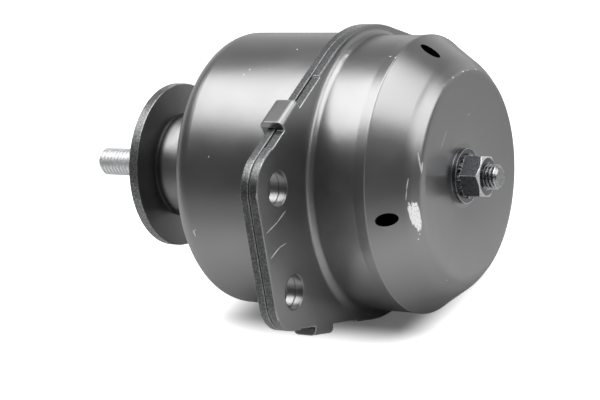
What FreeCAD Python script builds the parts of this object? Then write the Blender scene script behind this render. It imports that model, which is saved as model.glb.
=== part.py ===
import FreeCAD, Part
import math
import os
import Sketcher

# Fluid-filled engine mount: turned and drawn shells, a bonded rubber spring and a clamped nozzle stack.
# The mount's axis is X. The origin is the centre of the seat face of the stop disc, from which the engine
# stud points along -X. The two-hole ear of the flange points along -Y and the one-hole ear along +Y.
# All lengths are in millimetres.

os.makedirs("parts", exist_ok=True)
doc = FreeCAD.newDocument("engine_mount")

SLACK = 0.05
SMALLEST_CUT = 0.01

SIZES = {
    # engine stud and stop disc
    "stud_free": 38.0, "stud_radius": 6.0, "stud_tip_chamfer": 1.4, "stud_root_radius": 5.1,
    "stud_grip": 30.0, "disc_radius": 35.0, "disc_thick": 4.2, "disc_edge": 0.4,
    # core and rubber spring
    "core_radius": 19.5, "core_neck_end": 46.0, "core_end": 72.0, "core_tip_radius": 13.0,
    "skin_thick": 2.0, "skin_flare": 0.7, "flare_round": 0.9, "spring_top": 44.0, "neck_round": 9.0,
    "tip_cover": 3.0, "foot_height": 24.5, "foot_thick": 6.75,
    # upper housing
    "can_start": 34.4, "can_length": 61.3, "can_radius": 56.8, "wall": 2.5, "can_corner": 9.4,
    "can_mouth": 31.0,
    # flange
    "plate_thick": 3.6, "flange_lip": 3.4, "hole_radius": 6.75, "ear_overhang": 14.8,
    "ear_half_pitch": 21.0, "ear_corner": 15.0, "far_overhang": 10.8, "far_corner": 28.5,
    "drawn_radius": 2.5, "seam_edge": 0.45, "face_edge": 0.5,
    # fold-over tabs
    "tab_near": 33.0, "tab_far": 46.5, "tab_stand_off": 0.4, "tab_thick": 2.8, "tab_hook": 5.0,
    "tab_bend": 2.2, "root_overlap": 1.0, "relief_near": 14.0, "relief_far": 58.0, "relief_depth": 0.7,
    # lower housing and pot cap
    "collar_inset": 1.0, "collar_length": 28.3, "collar_round": 3.0, "flare_length": 4.8,
    "rim_flare": 0.3, "rim_edge": 0.35, "lap_length": 3.6, "lap_step": 1.2, "cone_step": 0.1,
    "cone_length": 13.4, "shoulder_inset": 9.3, "shoulder_round": 14.0, "crown_rise": 4.0,
    "crown_inset": 4.5, "crown_round": 3.4, "cone_along": 0.4, "cone_across": 0.9, "crown_across": 0.6,
    "dish_slope": 0.12, "dish_radius": 13.0, "vent_radius": 2.6, "vent_inset": 4.4, "vent_start": 2.0,
    "vent_clocking": 1.0, "vent_count": 4.0,
    # outer sleeve and nozzle stack
    "sleeve_gap": 0.05, "sleeve_wall": 2.5, "sleeve_clear": 0.7, "ring_thick": 1.8, "ring_width": 3.25,
    "nozzle_flange": 3.4, "nozzle_height": 11.0, "nozzle_inset": 10.8, "track_wall": 4.5,
    "track_width": 8.5, "track_rib": 2.5, "track_depth": 6.0, "grid_ledge": 2.0, "grid_thick": 2.0,
    "cover_thick": 1.6, "cover_inset": 1.0, "decoupler_thick": 3.4, "bead_width": 3.6, "bead_gap": 0.3,
    "grid_hole": 3.0, "grid_circle": 14.0, "grid_count": 6.0, "seal_cord": 1.0, "seal_inset": 3.0,
    # diaphragm
    "diaphragm_clear": 0.3, "diaphragm_thick": 1.8, "diaphragm_reach": 12.3, "fold_depth": 8.0,
    "fold_inset": 16.0, "fold_rise": 5.0, "fold_slant": 4.0, "fold_skew": 1.0,
    # lower stud and its fasteners
    "lower_stud_radius": 5.0, "lower_stud_reach": 16.2, "lower_stud_chamfer": 1.2, "lower_bore": 5.3,
    "head_radius": 9.0, "head_thick": 4.0, "backing_radius": 26.0, "backing_thick": 2.5,
    "washer_radius": 11.0, "washer_thick": 1.8, "tooth_radius": 9.0, "notch_radius": 1.2,
    "notch_out": 0.16, "tooth_count": 12.0, "tooth_washer_thick": 0.8, "nut_flats": 16.0,
    "nut_height": 8.0, "nut_chamfer": 1.2, "nut_clocking": 21.0, "bevel_margin": 1.0,
}

# Stations along the axis and radii that follow from the sizes.
SUMS = {
    "parting": "can_start + can_length",
    "flange_start": "parting - plate_thick",
    "flange_end": "parting + plate_thick",
    "flange_radius": "can_radius + flange_lip",
    "ear_reach": "flange_radius + ear_overhang",
    "far_reach": "flange_radius + far_overhang",
    "tab_start": "flange_start - tab_thick",
    "tab_outside": "flange_radius + tab_stand_off + tab_thick",
    "skin_radius": "core_radius + skin_thick",
    "spring_ceiling": "core_end + tip_cover",
    "can_inside": "can_radius - wall",
    "stack_radius": "can_inside - sleeve_gap",
    "sleeve_inside": "stack_radius - sleeve_wall",
    "foot_radius": "sleeve_inside - foot_thick",
    "sleeve_start": "can_start + can_corner + sleeve_clear",
    "stack_start": "parting - ring_thick - nozzle_flange",
    "ring_start": "parting - ring_thick",
    "foot_start": "stack_start - foot_height",
    "nozzle_end": "stack_start + nozzle_height",
    "grid_end": "stack_start + grid_thick",
    "cover_end": "nozzle_end + cover_thick",
    "nozzle_radius": "can_radius - nozzle_inset",
    "track_outer": "nozzle_radius - track_wall",
    "track_inner": "track_outer - track_width",
    "grid_seat": "track_inner - track_rib",
    "cavity_radius": "grid_seat - grid_ledge",
    "seal_circle": "sleeve_inside - seal_inset",
    "ring_radius": "stack_radius - ring_width",
    "diaphragm_inside": "nozzle_radius + diaphragm_clear",
    "diaphragm_outside": "diaphragm_inside + diaphragm_thick",
    "diaphragm_turn": "parting + diaphragm_reach",
    "diaphragm_deep": "diaphragm_turn + fold_depth",
    "diaphragm_top": "diaphragm_deep - fold_rise",
    "fold_radius": "nozzle_radius - fold_inset",
    "collar_radius": "can_radius - collar_inset",
    "collar_inside": "collar_radius - wall",
    "lap_radius": "collar_radius - lap_step",
    "rim_start": "parting + collar_length",
    "flare_start": "rim_start - flare_length",
    "lap_start": "rim_start - lap_length",
    "rim_radius": "collar_radius + rim_flare",
    "cone_radius": "collar_radius - cone_step",
    "shoulder_start": "rim_start + cone_length",
    "shoulder_radius": "collar_radius - shoulder_inset",
    "crown": "shoulder_start + crown_rise",
    "crown_radius": "shoulder_radius - crown_inset",
    "crown_inside": "crown_radius - wall",
    "vent_circle": "collar_radius - vent_inset",
    "dish_run": "crown_inside - dish_radius",
    "dish_floor": "crown - dish_run * dish_slope",
    "dish_inner": "dish_floor - wall",
    "backing_start": "dish_inner - backing_thick",
    "head_start": "backing_start - head_thick",
    "lower_stud_end": "dish_floor + lower_stud_reach",
    "tooth_start": "dish_floor + washer_thick",
    "nut_start": "tooth_start + tooth_washer_thick",
    "nut_end": "nut_start + nut_height",
}

sheet = doc.addObject("Spreadsheet::Sheet", "Sizes")
for row, (alias, number) in enumerate(SIZES.items(), start=1):
    sheet.set("A%d" % row, alias)
    sheet.set("B%d" % row, str(number))
    sheet.setAlias("B%d" % row, alias)
doc.recompute()


def bound(text):
    """Turn an expression of named values into one that reads the sheet."""
    words = text.replace("(", "( ").replace(")", " )").split()
    for place, word in enumerate(words):
        if word in SIZES:
            words[place] = "Sizes." + word
        elif word in SUMS:
            words[place] = "( " + bound(SUMS[word]) + " )"
    return " ".join(words)


def number(text):
    """Work out a sum of named values and their products from the sheet."""
    total = 0.0
    for term in text.replace(" - ", " + -1 * ").split(" + "):
        product = 1.0
        for word in term.split(" * "):
            if word in SUMS:
                product *= number(SUMS[word])
            else:
                product *= float(sheet.get(word)) if word in SIZES else float(word)
        total += product
    return total


def new_body(label):
    """Add an empty body with its own label."""
    body = doc.addObject("PartDesign::Body", label)
    body.Label = label
    return body


def plane(body, role):
    """Find one of the body's own origin planes."""
    return [item for item in body.Origin.OriginFeatures if item.Role == role][0]


def new_sketch(body, role, name, offset=None):
    """Attach a sketch to an origin plane, moved along the plane's normal by an expression."""
    sketch = body.newObject("Sketcher::SketchObject", name)
    sketch.AttachmentSupport = [(plane(body, role), "")]
    sketch.MapMode = "FlatFace"
    if offset:
        sketch.setExpression("AttachmentOffset.Base.z", bound(offset))
    return sketch


def bind_last(sketch, index, expression):
    """Bind a dimension of the sketch to the sheet."""
    sketch.setExpression("Constraints[%d]" % index, bound(expression))


def place_point(sketch, piece, end, along, across):
    """Bind a point to an (x, y) pair of expressions, or hold it on an axis where one of them is 0."""
    for kind, expression, axis in (("DistanceX", along, -2), ("DistanceY", across, -1)):
        if expression == "0":
            sketch.addConstraint(Sketcher.Constraint("PointOnObject", piece, end, axis))
        else:
            index = sketch.addConstraint(Sketcher.Constraint(kind, -1, 1, piece, end, 30.0))
            bind_last(sketch, index, expression)


def add_outline(sketch, points):
    """Draw a closed polygon whose corners are bound to (x, y) expressions."""
    count = len(points)
    turns = [2 * math.pi * i / count for i in range(count)]
    start = [FreeCAD.Vector(10 * math.cos(angle), 20 + 10 * math.sin(angle), 0) for angle in turns]
    lines = []
    for i in range(count):
        side = Part.LineSegment(start[i], start[(i + 1) % count])
        lines.append(sketch.addGeometry(side, False))
    for i in range(count):
        sketch.addConstraint(Sketcher.Constraint("Coincident", lines[i], 2, lines[(i + 1) % count], 1))
    for line, (along, across) in zip(lines, points):
        place_point(sketch, line, 1, along, across)


def turn(body, points, name="Turned", cut=False):
    """Revolve a closed outline of (x, radius) expressions about the mount's axis."""
    sketch = new_sketch(body, "XY_Plane", name + "Outline")
    add_outline(sketch, points)
    kind = "PartDesign::Groove" if cut else "PartDesign::Revolution"
    feature = body.newObject(kind, name)
    feature.Profile = sketch
    feature.ReferenceAxis = (sketch, ["H_Axis"])
    feature.Angle = 360.0
    doc.recompute()
    return feature


def add_circle(sketch, radius, across="0", up="0"):
    """Draw a circle with its centre and radius bound to the sheet."""
    circle = sketch.addGeometry(Part.Circle(FreeCAD.Vector(30, 30, 0), FreeCAD.Vector(0, 0, 1), 3.0), False)
    place_point(sketch, circle, 3, across, up)
    index = sketch.addConstraint(Sketcher.Constraint("Radius", circle, 3.0))
    bind_last(sketch, index, radius)
    return circle


def pad(body, sketch, length, name, reverse=False):
    """Pad a sketch by a bound length."""
    feature = body.newObject("PartDesign::Pad", name)
    feature.Profile = sketch
    feature.setExpression("Length", bound(length))
    feature.Reversed = reverse
    doc.recompute()
    return feature


def pocket(body, sketch, length, name, reverse=False):
    """Cut a sketch through the body by a bound depth, and check that it removed something."""
    before = body.Shape.Volume
    feature = body.newObject("PartDesign::Pocket", name)
    feature.Profile = sketch
    feature.setExpression("Length", bound(length))
    feature.Reversed = reverse
    doc.recompute()
    if not feature.Shape.Volume < before - SMALLEST_CUT:
        raise RuntimeError(name + " cuts nothing")
    return feature


def spread(body, feature, count, name):
    """Repeat a feature evenly around the mount's axis."""
    pattern = body.newObject("PartDesign::PolarPattern", name)
    pattern.Originals = [feature]
    pattern.Axis = ([item for item in body.Origin.OriginFeatures if item.Role == "X_Axis"][0], [""])
    pattern.Angle = 360.0
    pattern.setExpression("Occurrences", bound(count))
    body.Tip = pattern
    doc.recompute()
    return pattern


def ring_edges(body, place, radius):
    """Name the body's circular edges about the axis at one station and radius, both given as sums."""
    names = []
    place = number(place)
    radius = number(radius)
    for index, edge in enumerate(body.Shape.Edges, start=1):
        if edge.Curve.TypeId != "Part::GeomCircle":
            continue
        centre = edge.Curve.Center
        about_axis = abs(centre.y) < SLACK and abs(centre.z) < SLACK
        same_ring = abs(centre.x - place) < SLACK and abs(edge.Curve.Radius - radius) < SLACK
        if about_axis and same_ring:
            names.append("Edge%d" % index)
    return names


def round_edges(body, names, radius, name, kind="PartDesign::Fillet"):
    """Fillet or chamfer the named edges of the body's tip."""
    if not names:
        raise RuntimeError(name + " found no edges")
    base = body.Tip
    feature = body.newObject(kind, name)
    feature.Base = (base, names)
    feature.setExpression("Radius" if kind.endswith("Fillet") else "Size", bound(radius))
    doc.recompute()
    return feature


def round_ring(body, place, radius, size, name, kind="PartDesign::Fillet"):
    """Fillet or chamfer one turned edge, found by its station and radius."""
    return round_edges(body, ring_edges(body, place, radius), size, name, kind)


def outline_edges(body, place):
    """Name the flange's outer edges at one station: those that aren't whole circles."""
    names = []
    for index, edge in enumerate(body.Shape.Edges, start=1):
        box = edge.BoundBox
        in_plane = abs(box.XMin - number(place)) < SLACK and abs(box.XMax - number(place)) < SLACK
        if in_plane and not edge.isClosed():
            names.append("Edge%d" % index)
    return names


def flange_outline(sketch, mouth):
    """Draw the three-hole flange: a round plate with a wide ear at -Y, a narrow one at +Y and a mouth."""
    main = number("flange_radius")
    corner = number("ear_corner")
    reach = number("ear_reach")
    pitch = number("ear_half_pitch")
    far_corner = number("far_corner")
    far_reach = number("far_reach")
    centres = {"near_up": (-reach, pitch), "far": (far_reach, 0.0), "near_low": (-reach, -pitch)}
    lean = math.acos((main - corner) / math.hypot(reach, pitch))
    near = math.pi - math.atan2(pitch, reach) - lean
    far = math.acos((main - far_corner) / far_reach)
    normal = FreeCAD.Vector(0, 0, 1)

    def arc(centre, radius, start, end):
        circle = Part.Circle(FreeCAD.Vector(centre[0], centre[1], 0), normal, radius)
        return sketch.addGeometry(Part.ArcOfCircle(circle, start, end), False)

    def at(centre, radius, angle):
        return FreeCAD.Vector(centre[0] + radius * math.cos(angle), centre[1] + radius * math.sin(angle), 0)

    top = arc((0, 0), main, far, near)
    up = arc(centres["near_up"], corner, near, math.pi)
    low = arc(centres["near_low"], corner, math.pi, 2 * math.pi - near)
    bottom = arc((0, 0), main, 2 * math.pi - near, 2 * math.pi - far)
    tip = arc(centres["far"], far_corner, -far, far)

    def line(start, end):
        return sketch.addGeometry(Part.LineSegment(start, end), False)

    upper = line(at((0, 0), main, near), at(centres["near_up"], corner, near))
    side = line(at(centres["near_up"], corner, math.pi), at(centres["near_low"], corner, math.pi))
    lower = line(at(centres["near_low"], corner, -near), at((0, 0), main, -near))
    far_low = line(at((0, 0), main, -far), at(centres["far"], far_corner, -far))
    far_up = line(at(centres["far"], far_corner, far), at((0, 0), main, far))
    loop = [top, upper, up, side, low, lower, bottom, far_low, tip, far_up]
    for place, piece in enumerate(loop):
        sketch.addConstraint(Sketcher.Constraint("Tangent", piece, 2, loop[(place + 1) % len(loop)], 1))
    for piece in (top, bottom):
        sketch.addConstraint(Sketcher.Constraint("Coincident", piece, 3, -1, 1))
    for first, second in ((top, bottom), (up, low)):
        sketch.addConstraint(Sketcher.Constraint("Equal", first, second))
    for piece, value, name in ((top, main, "flange_radius"), (up, corner, "ear_corner"),
                               (tip, far_corner, "far_corner")):
        index = sketch.addConstraint(Sketcher.Constraint("Radius", piece, value))
        bind_last(sketch, index, name)
    sketch.addConstraint(Sketcher.Constraint("PointOnObject", tip, 3, -1))
    for piece, kind, value, expression in ((tip, "DistanceX", far_reach, "far_reach"),
                                           (up, "DistanceX", -reach, "0 - ear_reach"),
                                           (up, "DistanceY", pitch, "ear_half_pitch"),
                                           (low, "DistanceX", -reach, "0 - ear_reach"),
                                           (low, "DistanceY", -pitch, "0 - ear_half_pitch")):
        index = sketch.addConstraint(Sketcher.Constraint(kind, -1, 1, piece, 3, value))
        bind_last(sketch, index, expression)
    add_circle(sketch, mouth)
    add_circle(sketch, "hole_radius", "far_reach")
    for side_sign in ("", "0 - "):
        add_circle(sketch, "hole_radius", "0 - ear_reach", side_sign + "ear_half_pitch")


def lean_expression(upper):
    """Write the turn that lays a sketch's x axis along the straight edge of the wide ear."""
    lean = "90 deg - atan2( ear_half_pitch ; ear_reach )" \
           " - acos( ( flange_radius - ear_corner ) / sqrt( ear_reach ^ 2 + ear_half_pitch ^ 2 ) )"
    return lean if upper else "180 deg - ( " + lean + " )"


def edge_sketch(body, name, offset, upper):
    """Attach a sketch across the mount, turned so that the ear's straight edge is level in it."""
    sketch = new_sketch(body, "YZ_Plane", name, offset)
    about_axis = FreeCAD.Rotation(FreeCAD.Vector(0, 0, 1), 10)
    sketch.AttachmentOffset = FreeCAD.Placement(FreeCAD.Vector(0, 0, 0), about_axis)
    sketch.setExpression("AttachmentOffset.Base.z", bound(offset))
    sketch.setExpression("AttachmentOffset.Rotation.Angle", bound(lean_expression(upper)))
    return sketch


def box_outline(left, right, low, high):
    """List the corners of a rectangle from four expressions."""
    return [(left, low), (right, low), (right, high), (left, high)]


# engine stud: free M12 end along -X, reduced shank screwed into the core
body = new_body("engine_stud")
turn(body, [("0", "0"), ("stud_free + stud_grip", "0"), ("stud_free + stud_grip", "stud_root_radius"),
            ("stud_free", "stud_root_radius"), ("stud_free", "stud_radius"),
            ("stud_tip_chamfer", "stud_radius"), ("0", "stud_radius - stud_tip_chamfer")])
body.setExpression("Placement.Base.x", bound("0 - stud_free"))

# stop disc
body = new_body("stop_disc")
turn(body, [("0", "stud_root_radius"), ("disc_thick", "stud_root_radius"), ("disc_thick", "disc_radius"),
            ("0", "disc_radius")])
round_ring(body, "0", "disc_radius", "disc_edge", "OuterEdge")
round_ring(body, "disc_thick", "disc_radius", "disc_edge", "InnerEdge")

# core: bored for the stud's shank, its far end necked down inside the spring
body = new_body("core")
turn(body, [("disc_thick", "stud_root_radius"), ("stud_grip", "stud_root_radius"), ("stud_grip", "0"),
            ("core_end", "0"), ("core_end", "core_tip_radius"), ("core_neck_end", "core_radius"),
            ("disc_thick", "core_radius")])

# rubber spring: skin over the core, a thick cone out to the sleeve and a hollow underside
body = new_body("main_spring")
turn(body, [("disc_thick", "core_radius"), ("core_neck_end", "core_radius"), ("core_end", "core_tip_radius"),
            ("core_end", "0"), ("spring_ceiling", "0"), ("spring_ceiling", "core_tip_radius"),
            ("stack_start", "foot_radius"), ("stack_start", "sleeve_inside"), ("foot_start", "sleeve_inside"),
            ("foot_start", "foot_radius"), ("spring_top", "skin_radius"),
            ("disc_thick + skin_flare", "skin_radius"), ("disc_thick", "skin_radius + skin_flare")])
round_ring(body, "disc_thick + skin_flare", "skin_radius", "flare_round", "Flare")
round_ring(body, "spring_top", "skin_radius", "neck_round", "Neck")

# outer sleeve bonded to the spring and pressed into the upper housing
body = new_body("outer_sleeve")
turn(body, box_outline("sleeve_start", "stack_start", "sleeve_inside", "stack_radius"))

# upper housing: drawn can with a rounded end, a mouth for the core and the first flange plate
body = new_body("upper_housing")
turn(body, [("can_start", "can_mouth"), ("can_start", "can_radius"), ("parting", "can_radius"),
            ("parting", "can_inside"), ("can_start + wall", "can_inside"),
            ("can_start + wall", "can_mouth")], "Can")
sketch = new_sketch(body, "YZ_Plane", "PlateOutline", "flange_start")
flange_outline(sketch, "can_inside")
pad(body, sketch, "plate_thick", "Plate")
round_edges(body, outline_edges(body, "parting"), "seam_edge", "SeamEdge", "PartDesign::Chamfer")
round_edges(body, outline_edges(body, "flange_start"), "face_edge", "FaceEdge")
round_ring(body, "can_start", "can_radius", "can_corner", "EndCorner")
round_ring(body, "can_start + wall", "can_inside", "can_corner - wall", "InnerCorner")
round_ring(body, "flange_start", "can_radius", "drawn_radius", "DrawnCorner")

# lower housing: the second flange plate, its two folded tabs and the collar, flared over the cap's skirt
body = new_body("lower_housing")
turn(body, [("parting", "collar_inside"), ("parting", "collar_radius"), ("flare_start", "collar_radius"),
            ("rim_start", "rim_radius"), ("rim_start", "lap_radius"), ("lap_start", "lap_radius"),
            ("lap_start", "collar_inside")], "Collar")
sketch = new_sketch(body, "YZ_Plane", "PlateOutline", "parting")
flange_outline(sketch, "collar_inside")
pad(body, sketch, "plate_thick", "Plate")
round_edges(body, outline_edges(body, "parting"), "seam_edge", "SeamEdge", "PartDesign::Chamfer")
round_edges(body, outline_edges(body, "flange_end"), "face_edge", "FaceEdge")
round_ring(body, "flange_end", "collar_radius", "collar_round", "DrawnCorner")
round_ring(body, "rim_start", "rim_radius", "rim_edge", "RimEdge")
for upper, side in ((True, "Upper"), (False, "Lower")):
    ends = ("0 - tab_far", "0 - tab_near") if upper else ("tab_near", "tab_far")
    reach = ("0 - relief_far", "0 - relief_near") if upper else ("relief_near", "relief_far")
    sketch = edge_sketch(body, side + "ReliefOutline", "parting", upper)
    add_outline(sketch, box_outline(reach[0], reach[1], "flange_radius - relief_depth", "tab_outside"))
    pocket(body, sketch, "plate_thick", side + "Relief", True)
    sketch = edge_sketch(body, side + "RootOutline", "parting", upper)
    root = "flange_radius - relief_depth - root_overlap"
    add_outline(sketch, box_outline(ends[0], ends[1], root, "tab_outside"))
    pad(body, sketch, "plate_thick", side + "Root")
    sketch = edge_sketch(body, side + "BridgeOutline", "tab_start", upper)
    add_outline(sketch, box_outline(ends[0], ends[1], "flange_radius + tab_stand_off", "tab_outside"))
    pad(body, sketch, "plate_thick + tab_thick", side + "Bridge")
    sketch = edge_sketch(body, side + "HookOutline", "tab_start", upper)
    add_outline(sketch, box_outline(ends[0], ends[1], "flange_radius - tab_hook", "tab_outside"))
    pad(body, sketch, "tab_thick", side + "Hook")


def tab_bends(body):
    """Name the two long outside corners of each folded tab."""
    outside = number("tab_outside")
    length = number("tab_far - tab_near")
    stations = (number("tab_start"), number("flange_end"))
    names = []
    for index, edge in enumerate(body.Shape.Edges, start=1):
        if edge.Curve.TypeId != "Part::GeomLine" or abs(edge.Length - length) > SLACK:
            continue
        middle = edge.valueAt((edge.FirstParameter + edge.LastParameter) / 2)
        along = edge.tangentAt(edge.FirstParameter)
        away = abs(middle.y * along.z - middle.z * along.y)
        if abs(away - outside) < SLACK and min(abs(middle.x - place) for place in stations) < SLACK:
            names.append("Edge%d" % index)
    return names


round_edges(body, tab_bends(body), "tab_bend", "TabBends")

# pot cap: skirt held inside the collar's rim, vented cone, rounded crown and dished end
body = new_body("pot_cap")
turn(body, [("lap_start", "collar_inside"), ("rim_start", "collar_inside"),
            ("shoulder_start - wall * cone_along", "shoulder_radius - wall * cone_across"),
            ("crown - wall", "crown_radius - wall * crown_across"), ("dish_inner", "dish_radius"),
            ("dish_inner", "lower_bore"), ("dish_floor", "lower_bore"), ("dish_floor", "dish_radius"),
            ("crown", "crown_inside"), ("crown", "crown_radius"), ("shoulder_start", "shoulder_radius"),
            ("rim_start", "cone_radius"), ("rim_start", "lap_radius"), ("lap_start", "lap_radius")], "Pot")
round_ring(body, "shoulder_start", "shoulder_radius", "shoulder_round", "Shoulder")
round_ring(body, "crown", "crown_radius", "crown_round", "CrownOutside")
round_ring(body, "crown", "crown_inside", "crown_round", "CrownInside")
round_ring(body, "dish_floor", "dish_radius", "crown_round", "DishFloor")
sketch = new_sketch(body, "YZ_Plane", "VentOutline", "rim_start + vent_start")
sketch.setExpression("AttachmentOffset.Rotation.Angle", bound("0 deg - vent_clocking * 1 deg"))
add_circle(sketch, "vent_radius", "0 - vent_circle")
vent = pocket(body, sketch, "crown - rim_start", "Vent", True)
spread(body, vent, "vent_count", "Vents")

# nozzle body: clamped flange, inertia track, decoupler cavity and a groove for the seal
body = new_body("nozzle_body")
groove_end = "stack_start + 2 * seal_cord"
track_floor = "nozzle_end - track_depth"
turn(body, [("stack_start", "grid_seat"), ("grid_end", "grid_seat"), ("grid_end", "cavity_radius"),
            ("nozzle_end", "cavity_radius"), ("nozzle_end", "track_inner"), (track_floor, "track_inner"),
            (track_floor, "track_outer"), ("nozzle_end", "track_outer"), ("nozzle_end", "nozzle_radius"),
            ("ring_start", "nozzle_radius"), ("ring_start", "stack_radius"), ("stack_start", "stack_radius"),
            ("stack_start", "seal_circle + seal_cord"), (groove_end, "seal_circle + seal_cord"),
            (groove_end, "seal_circle - seal_cord"), ("stack_start", "seal_circle - seal_cord")])

# seal between the nozzle body and the spring's foot
seal = doc.addObject("Part::Torus", "seal_ring")
seal.Label = "seal_ring"
seal.setExpression("Radius1", bound("seal_circle"))
seal.setExpression("Radius2", bound("seal_cord"))
seal.Placement = FreeCAD.Placement(FreeCAD.Vector(0, 0, 0), FreeCAD.Rotation(FreeCAD.Vector(0, 1, 0), 90))
seal.setExpression("Placement.Base.x", bound("stack_start + seal_cord"))


def pierced_plate(label, start, end, radius):
    """Turn a round plate and pierce it with a ring of holes about a central one."""
    body = new_body(label)
    turn(body, box_outline(start, end, "0", radius))
    sketch = new_sketch(body, "YZ_Plane", "CentreOutline", end)
    add_circle(sketch, "grid_hole")
    pocket(body, sketch, end + " - ( " + start + " )", "Centre", False)
    sketch = new_sketch(body, "YZ_Plane", "HoleOutline", end)
    add_circle(sketch, "grid_hole", "grid_circle")
    hole = pocket(body, sketch, end + " - ( " + start + " )", "Hole", False)
    spread(body, hole, "grid_count", "Holes")
    return body


# plates either side of the decoupler; the cover also has the port of the inertia track
pierced_plate("nozzle_grid", "stack_start", "grid_end", "grid_seat - sleeve_gap")
body = pierced_plate("nozzle_cover", "nozzle_end", "cover_end", "nozzle_radius - cover_inset")
sketch = new_sketch(body, "YZ_Plane", "PortOutline", "cover_end")
add_circle(sketch, "grid_hole", "track_inner + track_width / 2")
pocket(body, sketch, "cover_thick", "Port")

# rubber decoupler: thick rim held between the plates, thin loose middle
body = new_body("decoupler")
rim = "cavity_radius - bead_gap"
rim_inside = rim + " - bead_width"
middle = "( grid_end + nozzle_end ) / 2"
low = middle + " - decoupler_thick / 2"
high = middle + " + decoupler_thick / 2"
turn(body, [(low, "0"), (high, "0"), (high, rim_inside), ("nozzle_end - bead_gap", rim_inside),
            ("nozzle_end - bead_gap", rim), ("grid_end + bead_gap", rim), ("grid_end + bead_gap", rim_inside),
            (low, rim_inside)])

# rolling diaphragm and the steel ring around its clamped rim
body = new_body("diaphragm")
turn(body, [("ring_start", "diaphragm_inside"), ("ring_start", "ring_radius"), ("parting", "ring_radius"),
            ("parting", "diaphragm_outside"), ("diaphragm_turn", "diaphragm_outside"),
            ("diaphragm_deep", "fold_radius + fold_slant"), ("diaphragm_top", "fold_radius / 2"),
            ("diaphragm_top", "0"), ("diaphragm_top - diaphragm_thick", "0"),
            ("diaphragm_top - diaphragm_thick", "fold_radius / 2"),
            ("diaphragm_deep - diaphragm_thick", "fold_radius + fold_slant - fold_skew"),
            ("diaphragm_turn - fold_skew", "diaphragm_inside")])
body = new_body("diaphragm_ring")
turn(body, box_outline("ring_start", "parting", "ring_radius", "stack_radius"))

# lower stud with its head inside the cap, on a backing plate
body = new_body("pot_stud")
turn(body, [("head_start", "0"), ("lower_stud_end", "0"),
            ("lower_stud_end", "lower_stud_radius - lower_stud_chamfer"),
            ("lower_stud_end - lower_stud_chamfer", "lower_stud_radius"),
            ("backing_start", "lower_stud_radius"), ("backing_start", "head_radius"),
            ("head_start", "head_radius")])
body = new_body("stud_plate")
turn(body, box_outline("backing_start", "dish_inner", "lower_bore", "backing_radius"))

# washer, toothed lock washer and nut on the lower stud
body = new_body("plain_washer")
turn(body, box_outline("dish_floor", "tooth_start", "lower_bore", "washer_radius"))
body = new_body("lock_washer")
turn(body, box_outline("tooth_start", "nut_start", "lower_bore", "tooth_radius"))
sketch = new_sketch(body, "YZ_Plane", "NotchOutline", "nut_start")
add_circle(sketch, "notch_radius", "tooth_radius + notch_out")
notch = pocket(body, sketch, "tooth_washer_thick", "Notch", False)
spread(body, notch, "tooth_count", "Notches")

body = new_body("hex_nut")
sketch = new_sketch(body, "YZ_Plane", "HexOutline", "nut_start")
sketch.setExpression("AttachmentOffset.Rotation.Angle", bound("0 deg - nut_clocking * 1 deg"))
across_corners = number("nut_flats") / math.sqrt(3)
corners = []
for i in range(6):
    angle = math.pi * i / 3
    corners.append(FreeCAD.Vector(across_corners * math.cos(angle), across_corners * math.sin(angle), 0))
sides = [sketch.addGeometry(Part.LineSegment(corners[i], corners[(i + 1) % 6]), False) for i in range(6)]
for i in range(6):
    sketch.addConstraint(Sketcher.Constraint("Coincident", sides[i], 2, sides[(i + 1) % 6], 1))
for i in range(6):
    place_point(sketch, sides[i], 1, "nut_flats / sqrt( 3 ) * cos( %d deg )" % (60 * i),
                "0" if i in (0, 3) else "nut_flats / sqrt( 3 ) * sin( %d deg )" % (60 * i))
add_circle(sketch, "lower_stud_radius")
pad(body, sketch, "nut_height", "Hexagon")
margin = "nut_flats / sqrt( 3 ) + bevel_margin"
turn(body, [("nut_end - nut_chamfer / 2", margin), ("nut_end + bevel_margin", margin),
            ("nut_end + bevel_margin", "nut_flats / 2 - nut_chamfer"),
            ("nut_end", "nut_flats / 2 - nut_chamfer / 4")], "Bevel", True)

doc.recompute()
NODES = [item for item in doc.Objects if item.TypeId in ("PartDesign::Body", "Part::Torus")]
for item in doc.Objects:
    if "Invalid" in item.State or "Error" in item.State:
        raise RuntimeError("%s failed: %s" % (item.Name, item.State))
for item in NODES:
    if item.Shape.isNull() or not item.Shape.isValid() or len(item.Shape.Solids) != 1:
        raise RuntimeError(item.Label + " has no single valid solid")
for item in NODES:
    item.Shape.exportStep("parts/%s.step" % item.Label)
    box = item.Shape.BoundBox
    row = (item.Label, item.Shape.Volume, box.XMin, box.XMax, box.YMax)
    print("%-16s %9.0f mm3  x %7.2f..%7.2f  y to %.2f" % row)
print(len(NODES), "pieces")
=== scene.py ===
import logging
import math
from dataclasses import dataclass
from enum import Enum
from typing import Optional, Sequence, Union

import bmesh
import bpy
from mathutils import Matrix, Vector


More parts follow.
